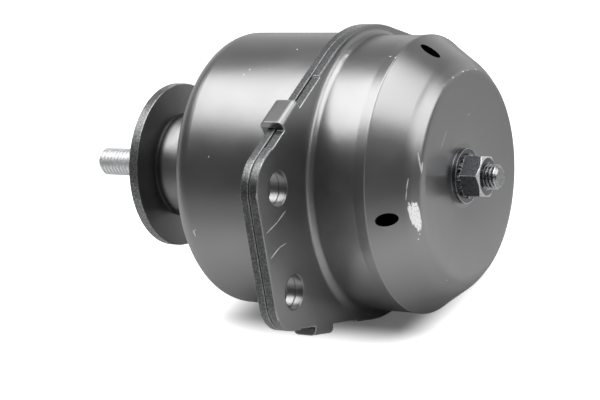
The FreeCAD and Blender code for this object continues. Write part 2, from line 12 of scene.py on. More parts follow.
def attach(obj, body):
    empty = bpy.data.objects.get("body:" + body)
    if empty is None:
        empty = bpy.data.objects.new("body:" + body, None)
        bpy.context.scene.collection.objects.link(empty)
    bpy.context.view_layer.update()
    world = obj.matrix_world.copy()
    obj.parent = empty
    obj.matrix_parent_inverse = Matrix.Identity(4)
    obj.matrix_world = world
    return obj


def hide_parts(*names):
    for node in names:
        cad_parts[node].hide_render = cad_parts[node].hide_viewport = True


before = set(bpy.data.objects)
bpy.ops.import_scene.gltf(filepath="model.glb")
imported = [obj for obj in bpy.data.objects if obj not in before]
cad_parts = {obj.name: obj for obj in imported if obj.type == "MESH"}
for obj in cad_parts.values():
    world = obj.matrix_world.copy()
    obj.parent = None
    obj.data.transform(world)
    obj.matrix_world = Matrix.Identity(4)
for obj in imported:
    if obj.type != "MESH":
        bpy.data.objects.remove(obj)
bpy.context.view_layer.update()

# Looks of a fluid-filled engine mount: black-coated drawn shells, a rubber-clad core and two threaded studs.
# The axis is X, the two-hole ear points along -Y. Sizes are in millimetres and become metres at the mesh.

Tree = bpy.types.NodeTree
Socket = bpy.types.NodeSocket
Pair = tuple[float, float]
Triple = tuple[float, float, float]
Colour = tuple[float, float, float, float]

MM = 0.001
# node settings that come up again and again
SMOOTH = {"interpolation_type": "SMOOTHSTEP"}
COLOUR = {"data_type": "RGBA"}
# rays that look for a corner near a point
CORNER_RAYS = 6
# depth that a bump texture of full strength stands for
BUMP_DEPTH = 0.1
# corners of a mesh that are sharper than this stay crisp
SHARP_ANGLE = math.radians(32)
log = logging.getLogger("engine_mount")


class Slot(Enum):
    """Names of two material slots of the record."""

    ZINC_STUD = "zinc_stud"
    DARK_ZINC = "dark_zinc"


class Edge(Enum):
    """How the rim of a coated piece looks."""

    NONE = "coated as the rest"
    SHEARED = "sheared rim of a flat blank"


def linear(hex_code: str) -> Colour:
    """Turns an sRGB hex colour into linear RGBA.

    Args:
        hex_code: Six hex digits with a leading hash.

    Returns:
        The linear colour with an alpha of 1.
    """
    parts = [int(hex_code[i:i + 2], 16) / 255 for i in (1, 3, 5)]
    red, green, blue = (c / 12.92 if c <= 0.04045 else ((c + 0.055) / 1.055) ** 2.4 for c in parts)
    return red, green, blue, 1.0


def add_node(tree: Tree, kind: str, inputs: Union[dict, Sequence] = (), output: Optional[str] = None,
             **settings) -> Optional[Socket]:
    """Adds a node, sets its properties and fills its inputs.

    Args:
        tree: The node tree that gets the node.
        kind: Type name of the node, without the leading ShaderNode.
        inputs: Values or source sockets, in order or by the names of the inputs.
        output: Name of the output wanted, or None for the first one in use.
        settings: Properties of the node.

    Returns:
        The node's output, whose node attribute leads back to the node, or None if it has no outputs.
    """
    node = tree.nodes.new("ShaderNode" + kind)
    for name, value in settings.items():
        setattr(node, name, value)
    for key, value in (inputs.items() if isinstance(inputs, dict) else enumerate(inputs)):
        if isinstance(value, Socket):
            tree.links.new(value, node.inputs[key])
        else:
            node.inputs[key].default_value = value
    if output:
        return node.outputs[output]
    return next((socket for socket in node.outputs if socket.enabled), None)


def new_material(name: str) -> tuple[bpy.types.Material, Tree]:
    """Makes a material with an empty tree.

    Args:
        name: Name of the material.

    Returns:
        The material and its tree.
    """
    material = bpy.data.materials.new(name)
    material.use_nodes = True
    material.node_tree.nodes.clear()
    return material, material.node_tree


def stations(tree: Tree) -> tuple[Socket, Socket, Socket]:
    """Gives a material the place on the mount as axial station and radius.

    Args:
        tree: The material's node tree.

    Returns:
        Sockets with the position, the station along X and the radius about X, in metres.
    """
    place = add_node(tree, "TexCoord", output="Object")
    split = add_node(tree, "SeparateXYZ", (place,)).node.outputs
    flat = add_node(tree, "CombineXYZ", {"Y": split["Y"], "Z": split["Z"]})
    return place, split["X"], add_node(tree, "VectorMath", (flat,), operation="LENGTH")


def facing(tree: Tree) -> Socket:
    """Gives how far a face looks along the axis: 1 or -1 where it is square to it, 0 where it runs along it."""
    return add_node(tree, "SeparateXYZ", (add_node(tree, "NewGeometry", output="True Normal"),))


def corners(tree: Tree, reach: float, full: float) -> Socket:
    """Marks the corners of a piece, where a rounded normal leaves the face's own.

    Args:
        tree: The material's node tree.
        reach: How far from the corner the mark ends, in millimetres.
        full: Dot product of the two normals at which the mark is full.

    Returns:
        A mask that is 1 on a sharp corner.
    """
    rounded = add_node(tree, "Bevel", {"Radius": reach * MM}, samples=CORNER_RAYS)
    own = add_node(tree, "NewGeometry", output="True Normal")
    same = add_node(tree, "VectorMath", (rounded, own), operation="DOT_PRODUCT")
    # the mark begins where the two normals part by about 10 degrees
    return add_node(tree, "MapRange", (same, 0.985, full), **SMOOTH)


@dataclass(frozen=True)
class Mark:
    """A straight knock, rubbing or scratch through the coat, widest at its middle; some strokes are painted
    highlight.

    A place is its station along X, its angle from -Y towards +Z in degrees, and its radius.
    """

    start: Triple
    end: Triple
    width: float
    strength: float = 1.0
    ragged: float = 0.8

    @staticmethod
    def point(place: Triple) -> Vector:
        """Turns station, angle and radius into a point in metres."""
        turn = math.radians(place[1])
        return Vector((place[0], -place[2] * math.cos(turn), place[2] * math.sin(turn))) * MM

    def mask(self, tree: Tree, place: Socket, noise: Socket) -> Socket:
        """Marks the inside of the stroke.

        Args:
            tree: The material's node tree.
            place: Position socket.
            noise: Noise about 0 that makes the outline ragged.

        Returns:
            The strength inside the stroke and 0 outside it.
        """
        low, high = self.point(self.start), self.point(self.end)
        run = high - low
        turn = run.to_track_quat("X", "Z").to_euler() if run.length else (0.0, 0.0, 0.0)
        local = add_node(tree, "Mapping", {
            "Vector": place, "Location": (low + high) / 2, "Rotation": turn,
            "Scale": (run.length / 2 + self.width * MM, self.width * MM, self.width * MM)}, vector_type="TEXTURE")
        away = add_node(tree, "VectorMath", (local,), operation="LENGTH")
        shift = add_node(tree, "Math", (noise, self.ragged), operation="MULTIPLY")
        rough = add_node(tree, "Math", (away, shift), operation="ADD")
        return add_node(tree, "MapRange", (rough, 1.12, 0.92, 0.0, self.strength), **SMOOTH)


def speck(station: float, angle: float, radius: float, size: float, strength: float = 1.0) -> Mark:
    """Makes a round mark."""
    return Mark((station, angle, radius), (station, angle, radius), size, strength)


@dataclass(frozen=True)
class Layer:
    """What shows over the coat inside a mask; grit is the share of torn steel's relief that it gets."""

    mask: Socket
    colour: Union[Socket, Colour]
    roughness: float
    metallic: float = 0.0
    grit: float = 0.0


@dataclass(frozen=True)
class BlackCoat:
    """Cathodic dip coat on drawn steel: a thin, even, satin black film.

    It follows the steel, so broad soft reflections stay unbroken; only fine orange peel, dust and knocks show.
    Its gloss gives back nearly a quarter of the light, which is matched to the photograph's broad highlights.
    """

    colour: str = "#151516"
    cloudy: str = "#1e1e1f"
    dust: str = "#8f8f90"
    # colour of steel showing through, and of the strokes of painted highlight
    steel: str = "#fbfbfb"
    # pale colour of the corners: thin coat there, and a painted highlight
    corner: str = "#d8d9da"
    # black of the painted shade in the seam and on the vent walls
    painted_shade: str = "#020202"
    roughness: float = 0.31
    # sizes of the faint clouds, the orange peel, the cells that may hold a dust speck and the ragged marks
    cloud_size: float = 22.0
    peel_size: float = 1.6
    dust_size: float = 4.2
    ragged_size: float = 1.1
    # grit of torn steel, drawn several times too coarse so that it shows
    grit_size: float = 0.55
    marks: tuple[Mark, ...] = ()
    # a sheared rim lies outside edge_radius, less a narrow band, and its grit mottles it between two greys
    edge: Edge = Edge.NONE
    edge_radius: float = 60.0
    edge_band: float = 0.3
    edge_dark: str = "#4a4b4c"
    edge_pale: str = "#747576"
    # how far from a corner the thin coat and its painted highlight reach, how far inside edge_radius corners
    # get them at all, and the radius that a folded edge is rolled to
    rub_and_highlight_reach: float = 0.7
    rub_and_highlight_band: float = 3.0
    rolled: float = 0.0
    # direction of the straight edges, as seen from the axis, and their distance, where tabs are folded over,
    # and how far beyond those edges the sheared rim fades
    tab: Optional[Triple] = None
    tab_margin: Pair = (0.6, 0.9)
    # stations of the line of painted shade in the seam between two stacked plates, and its blur
    parting: Optional[Pair] = None
    parting_blur: float = 0.15
    # middles of the punched holes, and the radii between which the rim's finish comes back round them
    holes: tuple[Triple, ...] = ()
    hole_margin: Pair = (7.1, 7.4)
    # stations past which walls along the axis belong to the vents, whose walls get painted shade, where the piece
    # has some
    vents: Optional[Pair] = None

    def dusty(self, tree: Tree, place: Socket) -> Socket:
        """Marks dust and pin-point knocks, drawn about 0.5 mm across so that they show.

        Args:
            tree: The material's node tree.
            place: Position socket.

        Returns:
            A mask that is 0.5 on a speck.
        """
        cell = add_node(tree, "TexVoronoi", {"Vector": place, "Scale": 1 / (self.dust_size * MM)})
        chance = add_node(tree, "SeparateColor", (cell.node.outputs["Color"],))
        dot = add_node(tree, "MapRange", (cell, 0.10, 0.05), **SMOOTH)
        chosen = add_node(tree, "Math", (chance, 0.96), operation="GREATER_THAN")
        few = add_node(tree, "Math", (dot, chosen), operation="MULTIPLY")
        return add_node(tree, "Math", (few, 0.5), operation="MULTIPLY")

    def wear_and_highlight(self, tree: Tree, place: Socket, grit: Socket) -> Socket:
        """Marks where the coat is knocked or scratched through, and the strokes of painted highlight.

        Args:
            tree: The material's node tree.
            place: Position socket.
            grit: Noise that breaks the marks up.

        Returns:
            A mask that is 1 where steel shows through and on painted highlight.
        """
        noise = add_node(tree, "TexNoise", {"Vector": place, "Scale": 1 / (self.ragged_size * MM), "Detail": 3.0})
        centred = add_node(tree, "Math", (noise, 0.5), operation="SUBTRACT")
        mask = None
        for mark in self.marks:
            stroke = mark.mask(tree, place, centred)
            mask = stroke if mask is None else add_node(tree, "Math", (mask, stroke), operation="MAXIMUM")
        broken = add_node(tree, "MapRange", (grit, 0.34, 0.42, 0.3, 1.0), **SMOOTH)
        return add_node(tree, "Math", (mask, broken), operation="MULTIPLY")

    def sheared(self, tree: Tree, place: Socket, radius: Socket) -> Socket:
        """Marks the sheared rim of the blank, but not its folded tabs or the walls of its punched holes.

        Args:
            tree: The material's node tree.
            place: Position socket.
            radius: Radius socket.

        Returns:
            A mask that is 1 on the rim.
        """
        lean = add_node(tree, "Math", (facing(tree),), operation="ABSOLUTE")
        wall = add_node(tree, "MapRange", (lean, 0.9, 0.6), **SMOOTH)
        inner = (self.edge_radius - self.edge_band) * MM
        outer = add_node(tree, "MapRange", (radius, inner, self.edge_radius * MM), **SMOOTH)
        rim = add_node(tree, "Math", (wall, outer), operation="MULTIPLY")
        if self.tab is not None:
            # a folded tab keeps the coat of the sheet's face: it stands out beyond the blank's straight edge
            towards_ear, towards_side, distance = self.tab
            low, high = ((distance + margin) * MM for margin in self.tab_margin)
            split = add_node(tree, "SeparateXYZ", (place,)).node.outputs
            height = add_node(tree, "Math", (split["Z"],), operation="ABSOLUTE")
            along_ear = add_node(tree, "Math", (split["Y"], -towards_ear), operation="MULTIPLY")
            along_side = add_node(tree, "Math", (height, towards_side), operation="MULTIPLY")
            reach = add_node(tree, "Math", (along_ear, along_side), operation="ADD")
            inside = add_node(tree, "MapRange", (reach, high, low), **SMOOTH)
            rim = add_node(tree, "Math", (rim, inside), operation="MULTIPLY")
        return self.off_holes(tree, place, rim)

    def off_holes(self, tree: Tree, place: Socket, mask: Socket) -> Socket:
        """Takes the walls and rims of the punched holes out of a mask.

        Args:
            tree: The material's node tree.
            place: Position socket.
            mask: The mask.

        Returns:
            The mask with 0 at the holes.
        """
        start, end = (limit * MM for limit in self.hole_margin)
        folded = add_node(tree, "VectorMath", (place,), operation="ABSOLUTE")
        flat = add_node(tree, "VectorMath", (folded, (0.0, 1.0, 1.0)), operation="MULTIPLY")
        for middle in self.holes:
            away = add_node(tree, "VectorMath", (flat, Vector(middle) * MM), operation="DISTANCE")
            clear = add_node(tree, "MapRange", (away, start, end), **SMOOTH)
            mask = add_node(tree, "Math", (mask, clear), operation="MULTIPLY")
        return mask

    def rub_and_highlight(self, tree: Tree, place: Socket, radius: Socket, grit: Socket) -> Socket:
        """Marks the rim's corners, where the coat is thin and handling has polished it, and a highlight is painted.

        Args:
            tree: The material's node tree.
            place: Position socket.
            radius: Radius socket.
            grit: Noise that breaks the line up.

        Returns:
            A mask that is 1 on a bright corner.
        """
        broken = add_node(tree, "MapRange", (grit, 0.36, 0.58, 0.3, 1.0), **SMOOTH)
        mask = add_node(tree, "Math", (corners(tree, self.rub_and_highlight_reach, 0.88), broken), operation="MULTIPLY")
        inner = (self.edge_radius - self.rub_and_highlight_band) * MM
        outer = add_node(tree, "MapRange", (radius, inner, self.edge_radius * MM), **SMOOTH)
        return add_node(tree, "Math", (self.off_holes(tree, place, mask), outer), operation="MULTIPLY")

    def line(self, tree: Tree, station: Socket) -> Socket:
        """Marks the line of painted shade in the seam between two stacked plates.

        Args:
            tree: The material's node tree.
            station: Station socket.

        Returns:
            A mask that is 1 in the line.
        """
        low, high = (limit * MM for limit in self.parting)
        blur = self.parting_blur * MM
        above = add_node(tree, "MapRange", (station, low, low + blur), **SMOOTH)
        below = add_node(tree, "MapRange", (station, high + blur, high), **SMOOTH)
        return add_node(tree, "Math", (above, below), operation="MULTIPLY")

    def vent_wall_shade(self, tree: Tree, station: Socket) -> Socket:
        """Marks the walls of the vents, which get painted shade.

        Args:
            tree: The material's node tree.
            station: Station socket.

        Returns:
            A mask that is 1 on such a wall.
        """
        low, high = (limit * MM for limit in self.vents)
        lean = add_node(tree, "Math", (facing(tree),), operation="ABSOLUTE")
        wall = add_node(tree, "MapRange", (lean, 0.35, 0.25), **SMOOTH)
        beyond = add_node(tree, "MapRange", (station, low, high), **SMOOTH)
        return add_node(tree, "Math", (wall, beyond), operation="MULTIPLY")

    def layers(self, tree: Tree, grit: Socket, place: Socket, station: Socket, radius: Socket) -> list[Layer]:
        """Lists what shows over the coat, from the lowest layer up.

        Args:
            tree: The material's node tree.
            grit: Noise of torn steel.
            place: Position socket.
            station: Station socket.
            radius: Radius socket.

        Returns:
            The layers that this piece has.
        """
        found = [Layer(self.dusty(tree, place), linear(self.dust), roughness=0.6)]
        if self.edge is Edge.SHEARED:
            mottle = add_node(tree, "MapRange", (grit, 0.42, 0.66), **SMOOTH)
            torn = add_node(tree, "Mix", {"Factor": mottle, "A": linear(self.edge_dark),
                                          "B": linear(self.edge_pale)}, **COLOUR)
            rim = self.sheared(tree, place, radius)
            found.append(Layer(rim, torn, roughness=0.36, metallic=0.85, grit=0.22))
            # painted highlight on the rim's corners, where handling has also thinned the coat
            corner = self.rub_and_highlight(tree, place, radius, grit)
            found.append(Layer(corner, linear(self.corner), roughness=0.42, metallic=0.25))
        # painted shade in the seam and on the vent walls: metal without a colour mirrors nothing, so they stay black
        # under any light
        if self.parting is not None:
            found.append(Layer(self.line(tree, station), linear(self.painted_shade), roughness=0.9, metallic=1.0))
        if self.vents is not None:
            found.append(Layer(self.vent_wall_shade(tree, station), linear(self.painted_shade), roughness=0.9, metallic=1.0))
        if self.marks:
            # steel of knocks and scratches, and strokes of painted highlight
            bare_and_highlight = self.wear_and_highlight(tree, place, grit)
            found.append(Layer(bare_and_highlight, linear(self.steel), roughness=0.5, metallic=0.15, grit=1.0))
        return found

    def make(self, name: str) -> bpy.types.Material:
        """Builds the coat.

        Args:
            name: Name of the material.

        Returns:
            The material.
        """
        material, tree = new_material(name)
        place, station, radius = stations(tree)
        cloud = add_node(tree, "TexNoise", {"Vector": place, "Scale": 1 / (self.cloud_size * MM), "Detail": 4.0})
        tone = add_node(tree, "Mix", {"Factor": cloud, "A": linear(self.colour), "B": linear(self.cloudy)}, **COLOUR)
        rough = add_node(tree, "MapRange", (cloud, 0.3, 0.7, self.roughness - 0.03, self.roughness + 0.04), **SMOOTH)
        peel = add_node(tree, "TexNoise", {"Vector": place, "Scale": 1 / (self.peel_size * MM), "Detail": 2.0})
        relief = add_node(tree, "Math", (peel, 0.05), operation="MULTIPLY")
        grit = add_node(tree, "TexNoise", {"Vector": place, "Scale": 1 / (self.grit_size * MM), "Detail": 3.0})
        metal = torn = None
        for layer in self.layers(tree, grit, place, station, radius):
            tone = add_node(tree, "Mix", {"Factor": layer.mask, "A": tone, "B": layer.colour}, **COLOUR)
            rough = add_node(tree, "Mix", {"Factor": layer.mask, "A": rough, "B": layer.roughness})
            if layer.metallic:
                shine = add_node(tree, "Math", (layer.mask, layer.metallic), operation="MULTIPLY")
                metal = shine if metal is None else add_node(tree, "Math", (metal, shine), operation="MAXIMUM")
            if layer.grit:
                coarse = add_node(tree, "Math", (layer.mask, layer.grit), operation="MULTIPLY")
                torn = coarse if torn is None else add_node(tree, "Math", (torn, coarse), operation="MAXIMUM")
        if torn is not None:
            tears = add_node(tree, "Math", (grit, torn), operation="MULTIPLY")
            relief = add_node(tree, "Math", (relief, tears), operation="ADD")
        bump = {"Height": relief, "Strength": 1.0, "Distance": BUMP_DEPTH * MM}
        if self.rolled:
            bump["Normal"] = add_node(tree, "Bevel", {"Radius": self.rolled * MM}, samples=CORNER_RAYS)
        film = add_node(tree, "BsdfPrincipled", {
            "Base Color": tone, "Roughness": rough, "Metallic": 0.0 if metal is None else metal,
            "Normal": add_node(tree, "Bump", bump), "IOR": 2.1, "Specular IOR Level": 0.95})
        add_node(tree, "OutputMaterial", {"Surface": film})
        return material


@dataclass(frozen=True)
class PlatedSteel:
    """Zinc-plated or unplated steel: metallic and fine-grained, brighter at its corners from tool and nut wear and
    from a painted highlight.

    It can have teeth, as many ridges round the axis, and a turned chamfer from a station on, whose fine
    tool marks scatter light from all round; the chamfer's paler colour is turned metal and a painted highlight.
    """

    colour: str
    wear_and_highlight: str
    roughness: float
    # size of the grain, share of its bright spots, strength of its relief, and reach of the corners' wear and
    # painted highlight
    grain: float = 0.6
    spots: float = 0.2
    relief: float = 0.05
    rub_and_highlight_reach: float = 0.45
    teeth: int = 0
    tooth_depth: float = 0.25
    turned: Optional[float] = None
    turned_highlight_dark: str = "#8f9092"
    turned_highlight_pale: str = "#d4d5d6"

    def chamfered(self, tree: Tree, station: Socket) -> Socket:
        """Marks the turned chamfer: past its station, and neither a side nor the end face.

        Args:
            tree: The material's node tree.
            station: Station socket.

        Returns:
            A mask that is 1 on the chamfer.
        """
        lean = facing(tree)
        past = add_node(tree, "MapRange", (station, self.turned * MM, (self.turned + 0.1) * MM), **SMOOTH)
        off_end = add_node(tree, "MapRange", (lean, 0.97, 0.94), **SMOOTH)
        off_side = add_node(tree, "MapRange", (lean, 0.3, 0.5), **SMOOTH)
        slanted = add_node(tree, "Math", (off_end, off_side), operation="MULTIPLY")
        return add_node(tree, "Math", (past, slanted), operation="MULTIPLY")

    def make(self, name: str) -> bpy.types.Material:
        """Builds the plated finish.

        Args:
            name: Name of the material.

        Returns:
            The material.
        """
        material, tree = new_material(name)
        place, station, _ = stations(tree)
        patch = add_node(tree, "TexNoise", {"Vector": place, "Scale": 1 / (self.grain * MM), "Detail": 3.0})
        broken = add_node(tree, "MapRange", (patch, 0.3, 0.5, 0.5, 1.0), **SMOOTH)
        # corners brightened by wear and by a painted highlight
        rub_and_highlight = add_node(tree, "Math", (corners(tree, self.rub_and_highlight_reach, 0.86), broken), operation="MULTIPLY")
        spotted = add_node(tree, "MapRange", (patch, 0.35, 0.7, 0.0, self.spots), **SMOOTH)
        bright = add_node(tree, "Math", (rub_and_highlight, spotted), operation="MAXIMUM")
        tone = add_node(tree, "Mix", {"Factor": bright, "A": linear(self.colour), "B": linear(self.wear_and_highlight)}, **COLOUR)
        rough = add_node(tree, "MapRange", (patch, 0.3, 0.7, self.roughness - 0.04, self.roughness + 0.06), **SMOOTH)
        bump = add_node(tree, "Bump", {"Height": patch, "Strength": self.relief, "Distance": BUMP_DEPTH * MM})
        metallic = 1.0
        if self.teeth:
            split = add_node(tree, "SeparateXYZ", (place,)).node.outputs
            angle = add_node(tree, "Math", (split["Z"], split["Y"]), operation="ARCTAN2")
            phase = add_node(tree, "Math", (angle, float(self.teeth)), operation="MULTIPLY")
            ridge = add_node(tree, "Math", (phase,), operation="SINE")
            bump = add_node(tree, "Bump", {"Height": ridge, "Distance": self.tooth_depth * MM, "Normal": bump})
            crest = add_node(tree, "MapRange", (ridge, 0.0, 0.8), **SMOOTH)
            tone = add_node(tree, "Mix", {"Factor": crest, "A": tone, "B": linear(self.wear_and_highlight)}, **COLOUR)
        # the turned chamfer is paler, as turned metal and as a painted highlight
        if self.turned is not None:
            cone = self.chamfered(tree, station)
            bare_and_highlight = add_node(tree, "Mix", {"Factor": patch, "A": linear(self.turned_highlight_dark),
                                          "B": linear(self.turned_highlight_pale)}, **COLOUR)
            tone = add_node(tree, "Mix", {"Factor": cone, "A": tone, "B": bare_and_highlight}, **COLOUR)
            metallic = add_node(tree, "MapRange", (cone, 0.0, 1.0, 1.0, 0.4), **SMOOTH)
        metal = add_node(tree, "BsdfPrincipled", {"Base Color": tone, "Roughness": rough, "Metallic": metallic,
                                                  "Normal": bump})
        add_node(tree, "OutputMaterial", {"Surface": metal})
        return material


@dataclass(frozen=True)
class MouldedRubber:
    """Natural rubber moulded against polished steel tooling: near black, with a broad soft sheen.

    A draft turns its shine as the taper does that lets the mould half slide off. The foot that flares onto
    the disc has none, and keeps a dull, dusty skin.
    """

    colour: str = "#151515"
    bloom: str = "#202020"
    roughness: float = 0.38
    # sizes of the faint clouds of bloom and of the moulded grain
    bloom_size: float = 9.0
    grain_size: float = 0.9
    sheen: float = 0.95
    draft: float = 0.0
    # stations between which the foot's dull skin ends
    foot: Pair = (6.0, 8.6)
    foot_sheen: float = 0.12

    def make(self, name: str) -> bpy.types.Material:
        """Builds the rubber.

        Args:
            name: Name of the material.

        Returns:
            The material.
        """
        material, tree = new_material(name)
        place, station, _ = stations(tree)
        bloom = add_node(tree, "TexNoise", {"Vector": place, "Scale": 1 / (self.bloom_size * MM), "Detail": 5.0})
        tone = add_node(tree, "Mix", {"Factor": bloom, "A": linear(self.colour), "B": linear(self.bloom)}, **COLOUR)
        rough = add_node(tree, "MapRange", (bloom, 0.3, 0.7, self.roughness - 0.06, self.roughness + 0.06), **SMOOTH)
        grain = add_node(tree, "TexNoise", {"Vector": place, "Scale": 1 / (self.grain_size * MM), "Detail": 2.0})
        bump = add_node(tree, "Bump", {"Height": grain, "Strength": 0.12, "Distance": BUMP_DEPTH * MM})
        skin = add_node(tree, "BsdfPrincipled", {"Base Color": tone, "Roughness": rough, "Normal": bump,
                                                 "IOR": 2.0, "Specular IOR Level": self.sheen})
        if self.draft:
            low, high = (limit * MM for limit in self.foot)
            free = add_node(tree, "Math", (station, low), operation="MAXIMUM")
            taper = add_node(tree, "Math", (free, -self.draft), operation="MULTIPLY")
            bump = add_node(tree, "Bump", {"Height": taper, "Strength": 1.0, "Distance": 1.0, "Normal": bump})
            sheen = add_node(tree, "MapRange", (station, low, high, self.foot_sheen, self.sheen), **SMOOTH)
            tree.links.new(bump, skin.node.inputs["Normal"])
            tree.links.new(sheen, skin.node.inputs["Specular IOR Level"])
        add_node(tree, "OutputMaterial", {"Surface": skin})
        return material


def dress(node_name: str, material: bpy.types.Material) -> None:
    """Gives a carried-over CAD node its finish.

    Args:
        node_name: Name of the node.
        material: Finish for all of its slots.
    """
    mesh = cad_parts[node_name].data
    if not mesh.materials:
        mesh.materials.append(material)
    for index in range(len(mesh.materials)):
        mesh.materials[index] = material
    log.info("dressed %s with %s", node_name, material.name)


def place_piece(bm: bmesh.types.BMesh, name: str, material: bpy.types.Material,
                stands_for: str) -> None:
    """Turns a finished bmesh into a piece of the mount in place of a CAD node.

    Args:
        bm: The mesh in millimetres; it is freed.
        name: Name of the piece.
        material: Its finish.
        stands_for: CAD node that it replaces.
    """
    bmesh.ops.remove_doubles(bm, verts=bm.verts, dist=0.001)
    bmesh.ops.recalc_face_normals(bm, faces=bm.faces)
    bmesh.ops.scale(bm, vec=(MM, MM, MM), verts=bm.verts)
    mesh = bpy.data.meshes.new(name)
    bm.to_mesh(mesh)
    bm.free()
    mesh.materials.append(material)
    piece = bpy.data.objects.new(name, mesh)
    bpy.context.scene.collection.objects.link(piece)
    mesh.shade_smooth()
    mesh.set_sharp_from_angle(angle=SHARP_ANGLE)
    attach(piece, "root")
    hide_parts(stands_for)
    log.info("made %s with %d faces", name, len(mesh.polygons))


@dataclass
class Thread:
    """A rolled metric thread as a closed shell: crest and root flats with 60 degree flanks."""

    crest: float
    pitch: float
    start: float
    end: float
    tip_chamfer: float
    steps: int = 40
    # depth of the root in pitches, and the corners of one turn as (pitches along, share of the depth)
    depth: float = 0.61
    profile: tuple[Pair, ...] = ((0.0, 1.0), (0.16, 1.0), (0.46, 0.0), (0.70, 0.0), (1.0, 1.0))
    # vertices nearer than this belong together
    weld: float = 0.01

    def add_to(self, bm: bmesh.types.BMesh) -> None:
        """Spins one pitch of the profile up the helix, trims both ends and caps them.

        Args:
            bm: The mesh that gets the thread, in millimetres.
        """
        part = bmesh.new()
        low = self.start - self.pitch
        verts = [part.verts.new((low + at * self.pitch, self.crest - drop * self.depth * self.pitch, 0.0))
                 for at, drop in self.profile]
        edges = [part.edges.new(pair) for pair in zip(verts, verts[1:])]
        turns = math.ceil((self.end - self.start) / self.pitch) + 1
        bmesh.ops.spin(part, geom=verts + edges, cent=(0, 0, 0), axis=(1, 0, 0),
                       dvec=(self.pitch / self.steps, 0, 0), angle=2 * math.pi * turns, steps=self.steps * turns)
        bmesh.ops.remove_doubles(part, verts=part.verts, dist=self.weld)
        for place, side in ((self.start, -1), (self.end, 1)):
            whole = part.verts[:] + part.edges[:] + part.faces[:]
            bmesh.ops.bisect_plane(part, geom=whole, plane_co=(place, 0, 0), plane_no=(side, 0, 0), clear_outer=True)
            rim = [edge for edge in part.edges if edge.is_boundary
                   and all(abs(vert.co.x - place) < self.weld for vert in edge.verts)]
            bmesh.ops.contextual_create(part, geom=rim)
        self.taper(part)
        finished = bpy.data.meshes.new("thread")
        part.to_mesh(finished)
        part.free()
        bm.from_mesh(finished)
        bpy.data.meshes.remove(finished)

    def taper(self, part: bmesh.types.BMesh) -> None:
        """Turns the lead-in chamfer: nearer the tip the thread dips under a cone.

        Args:
            part: The thread's own mesh.
        """
        tip = self.start if abs(self.start) > abs(self.end) else self.end
        for vert in part.verts:
            across = math.hypot(vert.co.y, vert.co.z)
            limit = self.crest - self.tip_chamfer + abs(vert.co.x - tip)
            if across > limit:
                vert.co.y *= limit / across
                vert.co.z *= limit / across


def add_cylinder(bm: bmesh.types.BMesh, start: float, end: float, radius: float, steps: int = 64) -> None:
    """Spins a cylinder about X, with a hair-fine bore so that its ends have no pole.

    Args:
        bm: The mesh that gets the cylinder.
        start: Station of its first end, in millimetres.
        end: Station of its other end.
        radius: Its radius.
        steps: Number of facets round the axis.
    """
    bore = 0.02
    verts = [bm.verts.new((station, away, 0.0))
             for station, away in ((start, bore), (start, radius), (end, radius), (end, bore))]
    edges = [bm.edges.new((verts[i - 1], verts[i])) for i in range(len(verts))]
    bmesh.ops.spin(bm, geom=verts + edges, cent=(0, 0, 0), axis=(1, 0, 0), angle=2 * math.pi, steps=steps,
                   use_merge=True)


@dataclass
class Studs:
    """The two studs: bright M12 at the engine side, darker M10 at the pot."""

    engine_crest: float = 6.0
    engine_pitch: float = 1.75
    engine_tip: float = -38.0
    engine_seat: float = -0.05
    engine_chamfer: float = 1.4
    shank: float = 5.1
    shank_start: float = -1.0
    shank_end: float = 30.0
    pot_crest: float = 5.0
    pot_pitch: float = 1.5
    pot_start: float = 134.0
    pot_tip: float = 154.4
    pot_chamfer: float = 1.2
    head_radius: float = 9.0
    head_start: float = 129.22
    head_end: float = 133.22

    def build(self) -> None:
        """Makes both studs in place of their plain CAD nodes."""
        bright = PlatedSteel("#e4e5e6", "#fafafa", 0.42).make("bright_zinc_stud")
        bm = bmesh.new()
        Thread(self.engine_crest, self.engine_pitch, self.engine_tip, self.engine_seat,
               self.engine_chamfer).add_to(bm)
        add_cylinder(bm, self.shank_start, self.shank_end, self.shank)
        place_piece(bm, "threaded_engine_stud", bright, "engine_stud")
        dull = PlatedSteel("#7c7d7f", "#f0f0f1", 0.28).make("dull_zinc_stud")
        bm = bmesh.new()
        Thread(self.pot_crest, self.pot_pitch, self.pot_start, self.pot_tip, self.pot_chamfer).add_to(bm)
        add_cylinder(bm, self.head_start, self.head_end, self.head_radius)
        place_piece(bm, "threaded_pot_stud", dull, "pot_stud")


